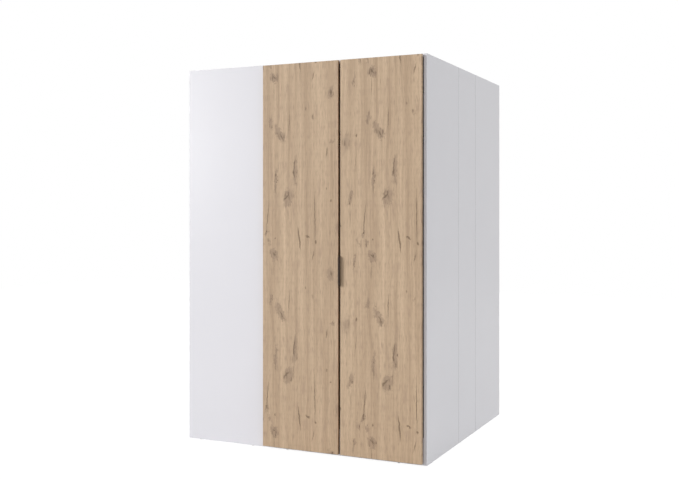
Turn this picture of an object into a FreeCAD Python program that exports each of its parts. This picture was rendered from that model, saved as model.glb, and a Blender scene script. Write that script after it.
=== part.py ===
import FreeCAD, Part
import os
import re

import Sketcher

# A corner wardrobe with two hinged doors beside a blind panel.
# X runs to the right, Y to the back and Z up, in millimetres.
# The origin is on the floor, in the middle of the whole outline, doors and pull included.

SIZES = {
    # Carcass
    "overall_width": 1370,
    "overall_height": 2000,
    "carcass_depth": 1294,
    "board": 16,
    "side_front_depth": 495,
    "side_middle_depth": 304,
    "seam_bevel": 0.8,
    "opening_width": 888,
    "front_setback": 3,
    "partition_depth": 120,
    "plinth_height": 117,
    "glide_height": 3,
    "glide_radius": 7,
    "bearer_shift": 5,
    "back_sheet": 3,
    "back_recess": 10,
    "groove_depth": 6,
    "groove_clearance": 0.1,
    "sheet_end_inset": 2,
    "profile_width": 25,
    "profile_flange": 1,
    "profile_web": 1.5,
    # Doors and pull
    "door_thickness": 18,
    "door_air_gap": 2,
    "door_side_gap": 4.5,
    "door_middle_gap": 13,
    "door_floor_gap": 12,
    "door_top_gap": 4,
    "door_edge_round": 1,
    "bumper_radius": 5,
    "bumper_air": 0.1,
    "bumper_inset": 25,
    "bumper_rise": 40,
    "pull_thickness": 2.5,
    "pull_reach": 14,
    "pull_length": 150,
    "pull_centre_height": 935,
    "pull_flange": 20,
    "pull_corner_round": 3,
    "pull_screw_spread": 100,
    # Hinges
    "hinge_count": 4,
    "hinge_end_inset": 80,
    "cup_radius": 17.5,
    "cup_depth": 13.5,
    "cup_edge": 3,
    "cup_wall": 1.2,
    "cup_fit": 0.1,
    "cup_lip": 2,
    "flange_thickness": 1,
    "flange_width": 16,
    "flange_height": 62,
    "cup_screw_spread": 48,
    "hinge_pin_radius": 1.5,
    "hinge_pin_inset": 8.5,
    "hinge_pin_depth": 8.5,
    "pin_running_gap": 0.05,
    "pin_seat_gap": 0.02,
    "knuckle_wall": 1.5,
    "cheek_gap": 0.5,
    "cheek_thickness": 3,
    "cheek_width": 6,
    "cheek_setdown": 1,
    "arm_thickness": 2.5,
    "arm_height": 10,
    "arm_swing_gap": 1.2,
    "arm_start_angle": -5,
    "arm_reach": 62,
    "plate_thickness": 3,
    "plate_setback": 28,
    "plate_height": 50,
    "plate_screw_spread": 32,
    # Shelves and rails
    "hat_space": 268,
    "shelf_seam_gap": 2,
    "shelf_end_gap": 1,
    "shelf_pin_radius": 2.5,
    "shelf_pin_seat": 9,
    "shelf_pin_reach": 9,
    "cleat_height": 60,
    "rail_radius": 12.5,
    "rail_wall": 1.5,
    "rail_drop": 50,
    "rail_fit": 0.1,
    "rail_end_gap": 1,
    "rail_flange_radius": 26,
    "rail_flange_thickness": 3,
    "rail_socket_wall": 3,
    "rail_socket_depth": 14,
    "rail_screw_circle": 21,
    "hanger_width": 20,
    "hanger_stem_radius": 5,
    "hanger_plate_length": 60,
    "hanger_plate_thickness": 3,
    "hanger_screw_spread": 44,
    "corner_rail_overlap": 60,
    # Fixings
    "screw_radius": 2,
    "screw_length": 11,
    "screw_head_radius": 3.5,
    "screw_head_height": 1.6,
    "pilot_clearance": 0.05,
    "bore_end_gap": 0.5,
    "nail_radius": 0.75,
    "nail_length": 14,
    "nail_head_radius": 2.5,
    "nail_head_height": 0.8,
    "nail_pitch": 150,
    "seam_plate_length": 50,
    "seam_plate_height": 18,
    "seam_plate_thickness": 2,
    "seam_screw_spread": 32,
    "cam_radius": 7.5,
    "cam_height": 12.5,
    "cam_inset": 24,
    "cam_stem_radius": 3,
    "cam_thread_radius": 2.5,
    "cam_thread_length": 10,
    "dowel_radius": 4,
    "dowel_length": 30,
    "dowel_seat": 10,
    "bracket_width": 40,
    "bracket_leg": 40,
    "bracket_thickness": 2.5,
    "bracket_screw_spread": 22,
    "bracket_offset": 400,
    "wall_hole_radius": 3,
    "sheet_hole_radius": 4,
    "match_tolerance": 0.01,
}

# Places that follow from the sizes, each a sum of size names or of places above it.
PLACES = {
    "right_outer": "overall_width / 2",
    "left_outer": "-overall_width / 2",
    "right_inner": "right_outer - board",
    "left_inner": "left_outer + board",
    "stile_face": "right_inner - opening_width",
    "stile_back_face": "stile_face - board",
    "opening_middle": "right_inner - opening_width / 2",
    "front_y": "(door_air_gap + door_thickness + pull_reach - carcass_depth) / 2",
    "back_y": "front_y + carcass_depth",
    "blind_back": "front_y + board",
    "level_front": "front_y + front_setback",
    "partition_back": "blind_back + partition_depth",
    "seam_front": "front_y + side_front_depth",
    "seam_rear": "seam_front + side_middle_depth",
    "sheet_back": "back_y - back_recess",
    "boards_back": "sheet_back - back_sheet",
    "floor_under": "glide_height + plinth_height",
    "floor_top": "floor_under + board",
    "roof_under": "overall_height - board",
    "sheet_reach": "groove_depth - groove_clearance",
    "sheet_width": "(right_inner - left_inner + 2 * sheet_reach - 2 * profile_web) / 3",
    "left_joint": "left_inner - sheet_reach + sheet_width",
    "right_joint": "right_inner + sheet_reach - sheet_width",
    "door_width": "(opening_width - 2 * door_side_gap - door_middle_gap) / 2",
    "door_height": "overall_height - door_floor_gap - door_top_gap",
    "door_top": "overall_height - door_top_gap",
    "door_back": "front_y - door_air_gap",
    "left_door_edge": "stile_face + door_side_gap",
    "left_door_free": "left_door_edge + door_width",
    "right_door_edge": "right_inner - door_side_gap",
    "right_door_free": "right_door_edge - door_width",
    "bumper_length": "door_air_gap + front_setback - bumper_air",
    "hinge_first": "floor_top + hinge_end_inset",
    "hinge_span": "roof_under - floor_top - 2 * hinge_end_inset",
    "cup_rise": "hinge_first - door_floor_gap",
    "cup_inset": "cup_edge + cup_radius",
    "cup_x": "left_door_edge + cup_inset",
    "pin_x": "left_door_edge + hinge_pin_inset",
    "pin_y": "door_back - hinge_pin_depth",
    "corner_swing": "sqrt(hinge_pin_inset ^ 2 + (door_thickness - hinge_pin_depth) ^ 2)",
    "hook_inner": "corner_swing + arm_swing_gap",
    "hook_outer": "hook_inner + arm_thickness",
    "arm_near": "stile_face + plate_thickness",
    "arm_end": "front_y + arm_reach",
    "plate_start": "front_y + plate_setback",
    "cheek_start": "arm_height / 2 + cheek_gap",
    "pin_half": "cheek_start + cheek_thickness",
    "shelf_top": "roof_under - hat_space",
    "shelf_height": "shelf_top - board",
    "shelf_front": "seam_rear + shelf_seam_gap",
    "shelf_back": "boards_back - profile_flange - shelf_end_gap",
    "rail_z": "shelf_height - rail_drop",
    "rear_rail_y": "(shelf_front + shelf_back) / 2",
    "corner_rail_x": "(left_inner + stile_back_face) / 2",
    "corner_rail_end": "shelf_front + corner_rail_overlap",
    "socket_radius": "rail_radius + rail_fit + rail_socket_wall",
}

# Where repeated fixings stand, as shares of the length that carries them.
CAM_SHARES = (0.2, 0.8)
SEAM_PLATE_SHARES = (0.1, 0.37, 0.63, 0.9)
DOWEL_SHARES = (0.15, 0.5, 0.85)
STILE_DOWEL_SHARES = (0.1, 0.3, 0.5, 0.7, 0.9)
PLINTH_DOWEL_SHARES = (0.3, 0.7)
SHELF_PIN_SHARES = (0.12, 0.88)
GLIDE_SHARES = (0.15, 0.85)
SHELF_DOWEL_SHARES = (0.25, 0.75)

WAYS = {
    "+x": FreeCAD.Vector(1, 0, 0),
    "-x": FreeCAD.Vector(-1, 0, 0),
    "+y": FreeCAD.Vector(0, 1, 0),
    "-y": FreeCAD.Vector(0, -1, 0),
    "+z": FreeCAD.Vector(0, 0, 1),
    "-z": FreeCAD.Vector(0, 0, -1),
}

doc = FreeCAD.newDocument("corner_wardrobe")
cutters = {}
node_labels = []


def bind(text, own=""):
    """Turn a sum of names into an expression on the two sheets."""

    def cell(match):
        word = match.group()
        sheet = "sizes" if word in SIZES else "places" if word in PLACES else ""
        return word if sheet in ("", own) else sheet + "." + word

    return re.sub(r"[a-z][a-z_]*", cell, text)


def fill_sheet(name, rows):
    sheet = doc.addObject("Spreadsheet::Sheet", name)
    for row, (alias, content) in enumerate(rows.items(), start=1):
        sheet.set(f"A{row}", alias)
        sheet.set(f"B{row}", content)
        sheet.setAlias(f"B{row}", alias)
    doc.recompute()
    return sheet


sizes = fill_sheet("sizes", {alias: str(number) for alias, number in SIZES.items()})
places = fill_sheet("places", {alias: "=" + bind(total, "places") for alias, total in PLACES.items()})


def value(text):
    """The number that a sum of names gives."""
    return float(sizes.evalExpression(bind(text)))


def spot(x, y, z):
    return FreeCAD.Vector(value(x), value(y), value(z))


def tie(piece, properties):
    for name, total in properties.items():
        piece.setExpression(name, bind(total))


def block(name, x, y, z):
    """A box between pairs of low and high places along X, Y and Z."""
    piece = doc.addObject("Part::Box", name)
    for axis, side, (low, high) in zip("xyz", ("Length", "Width", "Height"), (x, y, z)):
        tie(piece, {side: f"({high}) - ({low})", "Placement.Base." + axis: low})
    return piece


def rod(name, start, way, radius, length):
    """A round bar from a start place, along one of the axes."""
    piece = doc.addObject("Part::Cylinder", name)
    turn = FreeCAD.Rotation(WAYS["+z"], WAYS[way])
    piece.Placement = FreeCAD.Placement(FreeCAD.Vector(), turn)
    tie(piece, {"Radius": radius, "Height": length})
    tie(piece, {"Placement.Base." + axis: low for axis, low in zip("xyz", start)})
    return piece


def joined(name, pieces):
    whole = doc.addObject("Part::MultiFuse", name)
    whole.Shapes = pieces
    return whole


def less(name, base, tool):
    rest = doc.addObject("Part::Cut", name)
    rest.Base = base
    rest.Tool = tool
    return rest


def solids_piece(name, solids):
    """A group of like solids, such as a set of screws."""
    piece = doc.addObject("Part::Feature", name)
    piece.Shape = Part.makeCompound(solids)
    return piece


def group(name, pieces):
    whole = doc.addObject("Part::Compound", name)
    whole.Links = pieces
    return whole


def mirrored(name, source):
    """The right-hand copy of a left-hand group, across the middle of the opening."""
    piece = doc.addObject("Part::Mirroring", name)
    piece.Source = source
    piece.Normal = WAYS["+x"]
    tie(piece, {"Base.x": "opening_middle"})
    return piece


def node(piece, label=""):
    """Keep a finished piece as a sub-part under its label."""
    piece.Label = label or piece.Name
    node_labels.append(piece)
    return piece


def bore(label, point, way, radius, depth):
    """Note a round hole, which is cut when the piece of that label is finished."""
    cutters.setdefault(label, []).append(Part.makeCylinder(radius, depth, point, WAYS[way]))


def finished(label, blank):
    """The sub-part: its blank less the holes noted for it."""
    if label not in cutters:
        return node(blank, label)
    return node(less(label, blank, solids_piece(label + "_holes", cutters[label])))


def rectilinear(body, name, plane, corners, lengths):
    """A closed sketch of level and upright lines that starts at the body's origin."""
    sketch = body.newObject("Sketcher::SketchObject", name)
    support = [part for part in body.Origin.OriginFeatures if part.Role == plane]
    sketch.AttachmentSupport = [(support[0], "")]
    sketch.MapMode = "FlatFace"
    points = [spot(x, y, "0") for x, y in corners]
    count = len(points)
    for index in range(count):
        sketch.addGeometry(Part.LineSegment(points[index], points[(index + 1) % count]), False)
    for index in range(count):
        run = points[(index + 1) % count] - points[index]
        level = abs(run.x) > abs(run.y)
        sketch.addConstraint(Sketcher.Constraint("Coincident", index, 2, (index + 1) % count, 1))
        sketch.addConstraint(Sketcher.Constraint("Horizontal" if level else "Vertical", index))
    sketch.addConstraint(Sketcher.Constraint("Coincident", 0, 1, -1, 1))
    for index, total in lengths.items():
        place = sketch.addConstraint(Sketcher.Constraint("Distance", index, value(total)))
        sketch.setExpression(f"Constraints[{place}]", bind(total))
    return sketch


def pad(body, name, sketch, length):
    feature = body.newObject("PartDesign::Pad", name)
    feature.Profile = sketch
    tie(feature, {"Length": length})
    sketch.Visibility = False
    doc.recompute()
    return feature


def edges_where(feature, test):
    """Names of a feature's straight edges whose middle point and direction pass a test."""
    names = []
    for index, edge in enumerate(feature.Shape.Edges, start=1):
        if isinstance(edge.Curve, Part.Line) and test(edge.CenterOfMass, edge.Curve.Direction):
            names.append(f"Edge{index}")
    return names


def near(first, second):
    return abs(first - second) < value("match_tolerance")


def eased(body, name, kind, size, base, names, amount):
    """Fillet or chamfer the named edges of a body's last feature."""
    feature = body.newObject("PartDesign::" + kind, name)
    feature.Base = (base, names)
    tie(feature, {size: amount})
    doc.recompute()
    return feature


def placed(body, x, y, z):
    tie(body, {"Placement.Base.x": x, "Placement.Base.y": y, "Placement.Base.z": z})


# Screws, dowels and nails


def screw(point, way):
    """A pan-head screw whose head bears on the given point."""
    along = WAYS[way]
    shank = Part.makeCylinder(value("screw_radius"), value("screw_length"), point, along)
    head = Part.makeCylinder(value("screw_head_radius"), value("screw_head_height"), point, -along)
    return shank.fuse(head).removeSplitter()


def drive(screws, point, way, *labels):
    """Add a screw to a set and note its holes in the pieces that it goes through."""
    screws.append(screw(point, way))
    for label in labels:
        bore(label, point, way, value("screw_radius + pilot_clearance"),
             value("screw_length + bore_end_gap"))


dowels = []


def dowel(point, way, far_label, near_label):
    """A dowel across a joint: its short end in one board, its long end in the next along the way."""
    along = WAYS[way]
    seat = value("dowel_seat")
    rest = value("dowel_length - dowel_seat")
    hole = value("dowel_radius + pilot_clearance")
    back = {"+": "-", "-": "+"}[way[0]] + way[1]
    dowels.append(Part.makeCylinder(value("dowel_radius"), seat + rest, point - along * seat, along))
    bore(far_label, point, back, hole, value("dowel_seat + bore_end_gap"))
    bore(near_label, point, way, hole, value("dowel_length - dowel_seat + bore_end_gap"))


# The side walls: three upright boards each, with bevelled seams outside

SIDE_RUNS = {
    "front": ("front_y", "seam_front"),
    "middle": ("seam_front", "seam_rear"),
    "rear": ("seam_rear", "back_y"),
}


def side_board(side, part, low_y, high_y):
    """One upright side board, standing on its glides, with its outer upright edges bevelled."""
    label = f"{side}_side_{part}_board"
    body = doc.addObject("PartDesign::Body", label + "_blank")
    depth = f"({high_y}) - ({low_y})"
    corners = [("0", "0"), ("board", "0"), ("board", depth), ("0", depth)]
    sketch = rectilinear(body, label + "_section", "XY_Plane", corners, {0: "board", 1: depth})
    pad(body, label + "_pad", sketch, "overall_height - glide_height")
    outer = value("board") if side == "right" else 0
    names = edges_where(body.Tip, lambda middle, way: near(abs(way.z), 1) and near(middle.x, outer))
    eased(body, label + "_bevel", "Chamfer", "Size", body.Tip, names, "seam_bevel")
    placed(body, "right_inner" if side == "right" else "left_outer", low_y, "glide_height")
    return body


def back_groove(label, low_x, high_x):
    """Note the groove that holds the edge of a back sheet."""
    low = spot(low_x, "boards_back - groove_clearance", "glide_height")
    high = spot(high_x, "sheet_back + groove_clearance", "overall_height")
    size = high - low
    cutters.setdefault(label, []).append(Part.makeBox(size.x, size.y, size.z, low))


side_blanks = {}
for side in ("right", "left"):
    for part, (low_y, high_y) in SIDE_RUNS.items():
        if side == "left" and part == "front":
            low_y = "blind_back"
        side_blanks[f"{side}_side_{part}_board"] = side_board(side, part, low_y, high_y)
back_groove("right_side_rear_board", "right_inner", "right_inner + groove_depth")
back_groove("left_side_rear_board", "left_inner - groove_depth", "left_inner")

# The blind panel and the narrow partition behind its edge, which carries the left door

blind_blank = block("blind_panel_blank", ("left_outer", "stile_face"), ("front_y", "blind_back"),
                    ("glide_height", "overall_height"))
partition_blank = block("hinge_partition_blank", ("stile_back_face", "stile_face"),
                        ("blind_back", "partition_back"), ("floor_top", "roof_under"))

# Bottom and top: three boards each across the width, the front one notched behind the blind panel

LEVELS = {"bottom": ("floor_under", "floor_top"), "top": ("roof_under", "overall_height")}


def level_board(level, part):
    label = f"{level}_{part}_board"
    low_y, high_y = SIDE_RUNS[part]
    low_y = "level_front" if part == "front" else low_y
    high_y = "boards_back" if part == "rear" else high_y
    whole = block(label + "_blank", ("left_inner", "right_inner"), (low_y, high_y), LEVELS[level])
    if part != "front":
        return whole
    notch = block(label + "_notch", ("left_inner", "stile_face"), ("level_front", "blind_back"),
                  LEVELS[level])
    return less(label + "_notched", whole, notch)


level_blanks = {f"{level}_{part}_board": level_board(level, part) for level in LEVELS for part in SIDE_RUNS}

# The plinth under the doors and the bearers that carry the bottom boards by their seams and at the back

PLINTH_RISE = ("glide_height", "floor_under")
INNER_SPAN = ("left_inner", "right_inner")
plinth_blank = block("front_plinth_blank", ("stile_face", "right_inner"),
                     ("level_front", "level_front + board"), PLINTH_RISE)
BEARERS = {
    "front_bearer": ("seam_front + bearer_shift", "middle"),
    "rear_bearer": ("seam_rear + bearer_shift", "rear"),
    "back_bearer": ("boards_back - board / 2", "rear"),
}
bearer_blanks = {}
for label, (middle, part) in BEARERS.items():
    thickness = (f"{middle} - board / 2", f"{middle} + board / 2")
    bearer_blanks[label] = block(label + "_blank", INNER_SPAN, thickness, PLINTH_RISE)

# The back: three thin sheets joined by two profiles

SHEET_SPANS = {
    "left": ("left_inner - sheet_reach", "left_joint"),
    "centre": ("left_joint + profile_web", "right_joint - profile_web"),
    "right": ("right_joint", "right_inner + sheet_reach"),
}
SHEET_RISE = ("floor_under + sheet_end_inset", "overall_height - sheet_end_inset")
sheet_blanks = {
    f"back_panel_{part}": block(f"back_panel_{part}_blank", span, ("boards_back", "sheet_back"), SHEET_RISE)
    for part, span in SHEET_SPANS.items()
}


def joint_profile(name, low_web):
    """An H-shaped strip over the joint of two back sheets."""
    low = f"{low_web} + profile_web / 2 - profile_width / 2"
    span = (low, low + " + profile_width")
    rise = ("floor_top", "roof_under")
    inner = block(name + "_inner", span, ("boards_back - profile_flange", "boards_back"), rise)
    outer = block(name + "_outer", span, ("sheet_back", "sheet_back + profile_flange"), rise)
    web = block(name + "_web", (low_web, low_web + " + profile_web"), ("boards_back", "sheet_back"), rise)
    return joined(name, [inner, outer, web])


node(group("back_joint_profiles", [joint_profile("left_joint_profile", "left_joint"),
                                   joint_profile("right_joint_profile", "right_joint - profile_web")]))

# The hat shelf: along the back, with a return behind the blind panel

SHELF_RISE = ("shelf_height", "shelf_top")
rear_shelf_blank = block("rear_shelf_blank", ("left_inner + shelf_end_gap", "right_inner - shelf_end_gap"),
                         ("shelf_front", "shelf_back"), SHELF_RISE)
corner_shelf_blank = block("corner_shelf_blank",
                           ("left_inner + shelf_end_gap", "stile_back_face - shelf_end_gap"),
                           ("blind_back + shelf_end_gap", "shelf_front"), SHELF_RISE)
cleat_blank = block("shelf_cleat_blank", INNER_SPAN, ("shelf_back - board", "shelf_back"),
                    ("shelf_height - cleat_height", "shelf_height"))

shelf_pins = []


def shelf_pin(x, y, way, label):
    """A pin in a side board, with the shelf lying on it."""
    radius = value("shelf_pin_radius")
    point = spot(x, y, "shelf_height - shelf_pin_radius")
    seat = value("shelf_pin_seat")
    length = seat + value("shelf_pin_reach")
    shelf_pins.append(Part.makeCylinder(radius, length, point + WAYS[way] * seat, -WAYS[way]))
    bore(label, point, way, radius + value("pilot_clearance"), value("shelf_pin_seat + bore_end_gap"))


for share in SHELF_PIN_SHARES:
    along = f"shelf_front + {share} * (shelf_back - shelf_front - board)"
    shelf_pin("right_inner", along, "+x", "right_side_rear_board")
    shelf_pin("left_inner", along, "-x", "left_side_rear_board")
    for part, (low_y, high_y) in (("front", ("blind_back", "seam_front")), ("middle", SIDE_RUNS["middle"])):
        along = f"{low_y} + {share} * ({high_y} - {low_y})"
        shelf_pin("left_inner", along, "-x", f"left_side_{part}_board")
    along = f"blind_back + {share} * partition_depth"
    shelf_pin("stile_back_face", along, "+x", "hinge_partition")
for share in SHELF_DOWEL_SHARES:
    across = f"left_inner + {share} * (stile_back_face - left_inner)"
    dowel(spot(across, "shelf_front", "shelf_height + board / 2"), "+y", "corner_shelf", "rear_shelf")

# Clothes rails: one along the back, one behind the blind panel


def tube(name, start, way, length):
    outer = rod(name + "_outer", start, way, "rail_radius", length)
    inner = rod(name + "_inner", start, way, "rail_radius - rail_wall", length)
    return less(name, outer, inner)


REAR_RAIL_LENGTH = "right_inner - left_inner - 2 * rail_flange_thickness - 2 * rail_end_gap"
CORNER_RAIL_START = "blind_back + rail_flange_thickness + rail_end_gap"
node(tube("rear_rail", ("left_inner + rail_flange_thickness + rail_end_gap", "rear_rail_y", "rail_z"), "+x",
          REAR_RAIL_LENGTH))
node(tube("corner_rail", ("corner_rail_x", CORNER_RAIL_START, "rail_z"), "+y",
          f"corner_rail_end - ({CORNER_RAIL_START})"))

rail_screws = []
FLANGE_SCREW_ANGLES = (60, 180, 300)


def rail_flange(name, start, way, label):
    """A round flange with a socket for the end of a rail."""
    disc = rod(name + "_disc", start, way, "rail_flange_radius", "rail_flange_thickness")
    socket = rod(name + "_socket", start, way, "socket_radius", "rail_socket_depth")
    lift = {"x": 0, "y": 1}[way[1]]
    hollow_start = list(start)
    hollow_start[lift] = f"{start[lift]} {way[0]} rail_flange_thickness"
    hollow = rod(name + "_hollow", hollow_start, way, "rail_radius + rail_fit", "rail_socket_depth")
    back = {"+": "-", "-": "+"}[way[0]] + way[1]
    centre = spot(*start) + WAYS[way] * value("rail_flange_thickness")
    for turn in FLANGE_SCREW_ANGLES:
        arm = FreeCAD.Rotation(WAYS[way], turn).multVec(WAYS["+z"]) * value("rail_screw_circle")
        drive(rail_screws, centre + arm, back, name, label)
    shell = less(name + "_shell", joined(name + "_blank", [disc, socket]), hollow)
    return less(name, shell, solids_piece(name + "_holes", cutters[name]))


def rail_hanger(name, x, y, way, label):
    """A plate, stem and ring that hang a rail from the shelf above it."""
    half = "hanger_width / 2"
    start = {"x": (f"{x} - {half}", y, "rail_z"), "y": (x, f"{y} - {half}", "rail_z")}[way[1]]
    ring = rod(name + "_ring", start, way, "socket_radius", "hanger_width")
    stem = rod(name + "_stem", (x, y, "rail_z"), "+z", "hanger_stem_radius", "rail_drop")
    long = (f"{y} - hanger_plate_length / 2", f"{y} + hanger_plate_length / 2")
    wide = (f"{x} - {half}", f"{x} + {half}")
    rise = ("shelf_height - hanger_plate_thickness", "shelf_height")
    if way[1] == "y":
        wide = (f"{x} - hanger_plate_length / 2", f"{x} + hanger_plate_length / 2")
        long = (f"{y} - {half}", f"{y} + {half}")
    plate = block(name + "_plate", wide, long, rise)
    hollow = rod(name + "_hollow", start, way, "rail_radius + rail_fit", "hanger_width")
    across = WAYS["+y"] if way[1] == "x" else WAYS["+x"]
    under = spot(x, y, "shelf_height - hanger_plate_thickness")
    for end in (-1, 1):
        drive(rail_screws, under + across * (end * value("hanger_screw_spread") / 2), "+z", name, label)
    shell = less(name + "_shell", joined(name + "_blank", [ring, stem, plate]), hollow)
    return less(name, shell, solids_piece(name + "_holes", cutters[name]))


node(group("rail_flanges", [
    rail_flange("left_rail_flange", ("left_inner", "rear_rail_y", "rail_z"), "+x", "left_side_rear_board"),
    rail_flange("right_rail_flange", ("right_inner", "rear_rail_y", "rail_z"), "-x",
                "right_side_rear_board"),
    rail_flange("corner_rail_flange", ("corner_rail_x", "blind_back", "rail_z"), "+y", "blind_panel"),
]))
node(group("rail_hangers", [
    rail_hanger("rear_rail_hanger", "opening_middle", "rear_rail_y", "+x", "rear_shelf"),
    rail_hanger("corner_rail_hanger", "corner_rail_x", "corner_rail_end - hanger_width / 2", "+y",
                "rear_shelf"),
]))
node(solids_piece("rail_screws", rail_screws))

# Flat plates across the seams of the side boards, inside

seam_plates = []
seam_plate_screws = []
for side, face, way in (("right", "right_inner", "+x"), ("left", "left_inner", "-x")):
    for seam, first, second in (("seam_front", "front", "middle"), ("seam_rear", "middle", "rear")):
        for share in SEAM_PLATE_SHARES:
            height = f"floor_top + {share} * (roof_under - floor_top)"
            name = f"{side}_{seam}_plate_{len(seam_plates)}"
            inward = ("right_inner - seam_plate_thickness", "right_inner")
            if side == "left":
                inward = ("left_inner", "left_inner + seam_plate_thickness")
            blank = block(name + "_blank", inward,
                          (f"{seam} - seam_plate_length / 2", f"{seam} + seam_plate_length / 2"),
                          (f"{height} - seam_plate_height / 2", f"{height} + seam_plate_height / 2"))
            surface = inward[0] if side == "right" else inward[1]
            for sign, part in (("-", first), ("+", second)):
                point = spot(surface, f"{seam} {sign} seam_screw_spread / 2", height)
                drive(seam_plate_screws, point, way, name, f"{side}_side_{part}_board")
            seam_plates.append(less(name, blank, solids_piece(name + "_holes", cutters[name])))
node(group("seam_plates", seam_plates))
node(solids_piece("seam_plate_screws", seam_plate_screws))

# Cam fittings between the side boards and the bottom and top boards

cam_discs = []
cam_bolts = []


def cam_fitting(side, level, part, along):
    """A cam in a bottom or top board that pulls on a bolt in the side board."""
    way, back = ("+x", "-x") if side == "right" else ("-x", "+x")
    low, high = LEVELS[level]
    point = spot(f"{side}_inner", along, f"({low} + {high}) / 2")
    side_label = f"{side}_side_{part}_board"
    level_label = f"{level}_{part}_board"
    stem = value("cam_inset - cam_radius - pilot_clearance")
    thread = Part.makeCylinder(value("cam_thread_radius"), value("cam_thread_length"), point, WAYS[way])
    shank = Part.makeCylinder(value("cam_stem_radius"), stem, point, WAYS[back])
    cam_bolts.append(thread.fuse(shank).removeSplitter())
    clear = value("pilot_clearance")
    bore(side_label, point, way, value("cam_thread_radius") + clear,
         value("cam_thread_length + bore_end_gap"))
    bore(level_label, point, back, value("cam_stem_radius") + clear, value("cam_inset"))
    rise = "+z" if level == "bottom" else "-z"
    mouth = point + WAYS[back] * value("cam_inset")
    mouth.z = value(low if level == "bottom" else high)
    cam_discs.append(Part.makeCylinder(value("cam_radius"), value("cam_height"), mouth, WAYS[rise]))
    bore(level_label, mouth, rise, value("cam_radius") + clear, value("cam_height"))


for side in ("right", "left"):
    for level in LEVELS:
        for part, (low_y, high_y) in SIDE_RUNS.items():
            for share in CAM_SHARES:
                cam_fitting(side, level, part, f"{low_y} + {share} * ({high_y} - {low_y})")
node(solids_piece("cam_discs", cam_discs))
node(solids_piece("cam_bolts", cam_bolts))

# Dowels of the blind panel, the partition behind it, the plinth, the bearers, the cleat and the board seams


def end_dowels(label, part, y, z):
    """A dowel at each end of a board that stands between the two side walls."""
    dowel(spot("right_inner", y, z), "-x", f"right_side_{part}_board", label)
    dowel(spot("left_inner", y, z), "+x", f"left_side_{part}_board", label)


for share in DOWEL_SHARES:
    across = f"left_inner + {share} * (stile_back_face - left_inner)"
    seam_across = f"left_inner + {share} * (right_inner - left_inner)"
    for level, (low, high) in LEVELS.items():
        rise = f"({low} + {high}) / 2"
        dowel(spot(across, "blind_back", rise), "+y", "blind_panel", f"{level}_front_board")
        dowel(spot(seam_across, "seam_front", rise), "+y", f"{level}_front_board", f"{level}_middle_board")
        dowel(spot(seam_across, "seam_rear", rise), "+y", f"{level}_middle_board", f"{level}_rear_board")
    rise = f"glide_height + {share} * (overall_height - glide_height)"
    dowel(spot("left_inner - board / 2", "blind_back", rise), "+y", "blind_panel", "left_side_front_board")
for share in STILE_DOWEL_SHARES:
    rise = f"floor_top + {share} * (roof_under - floor_top)"
    dowel(spot("stile_face - board / 2", "blind_back", rise), "+y", "blind_panel", "hinge_partition")
for share in PLINTH_DOWEL_SHARES:
    rise = f"glide_height + {share} * plinth_height"
    along = "level_front + board / 2"
    dowel(spot("right_inner", along, rise), "-x", "right_side_front_board", "front_plinth")
    dowel(spot("stile_face", along, rise), "+x", "blind_panel", "front_plinth")
    for label, (middle, part) in BEARERS.items():
        end_dowels(label, part, middle, rise)
end_dowels("shelf_cleat", "rear", "shelf_back - board / 2", "shelf_height - cleat_height / 2")
node(solids_piece("dowels", dowels))

# Nails through the back sheets into the bottom, top and bearer edges

back_panel_nails = []


def nail(x, z, *labels):
    point = spot(x, "sheet_back", z)
    shank = Part.makeCylinder(value("nail_radius"), value("nail_length"), point, WAYS["-y"])
    head = Part.makeCylinder(value("nail_head_radius"), value("nail_head_height"), point, WAYS["+y"])
    back_panel_nails.append(shank.fuse(head).removeSplitter())
    for label in labels:
        bore(label, point, "-y", value("nail_radius + pilot_clearance"), value("nail_length + bore_end_gap"))


for part, (low_x, high_x) in SHEET_SPANS.items():
    count = int(value("sheet_width / nail_pitch"))
    for index in range(count):
        across = f"{low_x} + ({high_x} - ({low_x})) * {index + 1} / {count + 1}"
        nail(across, "floor_under + board / 2", f"back_panel_{part}", "bottom_rear_board")
        nail(across, "roof_under + board / 2", f"back_panel_{part}", "top_rear_board")
node(solids_piece("back_panel_nails", back_panel_nails))

# Angle brackets that tie the top to the wall behind

wall_brackets = []
wall_bracket_screws = []
for sign, part in (("-", "left"), ("+", "right")):
    name = f"{part}_wall_bracket"
    middle = f"{sign}bracket_offset"
    span = (f"{middle} - bracket_width / 2", f"{middle} + bracket_width / 2")
    level = block(name + "_level", span, ("boards_back - bracket_leg", "boards_back"),
                  ("roof_under - bracket_thickness", "roof_under"))
    upright = block(name + "_upright", span, ("boards_back - bracket_thickness", "boards_back"),
                    ("roof_under - bracket_leg", "roof_under"))
    hole = spot(middle, "boards_back - bracket_thickness", "roof_under - bracket_leg / 2")
    bore(name, hole, "+y", value("wall_hole_radius"), value("bracket_thickness"))
    bore(f"back_panel_{part}", hole, "+y", value("sheet_hole_radius"),
         value("bracket_thickness + back_sheet"))
    under = spot(middle, "boards_back - bracket_leg / 2", "roof_under - bracket_thickness")
    for end in (-1, 1):
        point = under + WAYS["+x"] * (end * value("bracket_screw_spread") / 2)
        drive(wall_bracket_screws, point, "+z", name, "top_rear_board")
    shell = joined(name + "_blank", [level, upright])
    wall_brackets.append(less(name, shell, solids_piece(name + "_holes", cutters[name])))
node(group("wall_brackets", wall_brackets))
node(solids_piece("wall_bracket_screws", wall_bracket_screws))

# Glides under everything that stands on the floor

floor_glides = []


def glide(x, y):
    point = spot(x, y, "0")
    floor_glides.append(Part.makeCylinder(value("glide_radius"), value("glide_height"), point, WAYS["+z"]))


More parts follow.
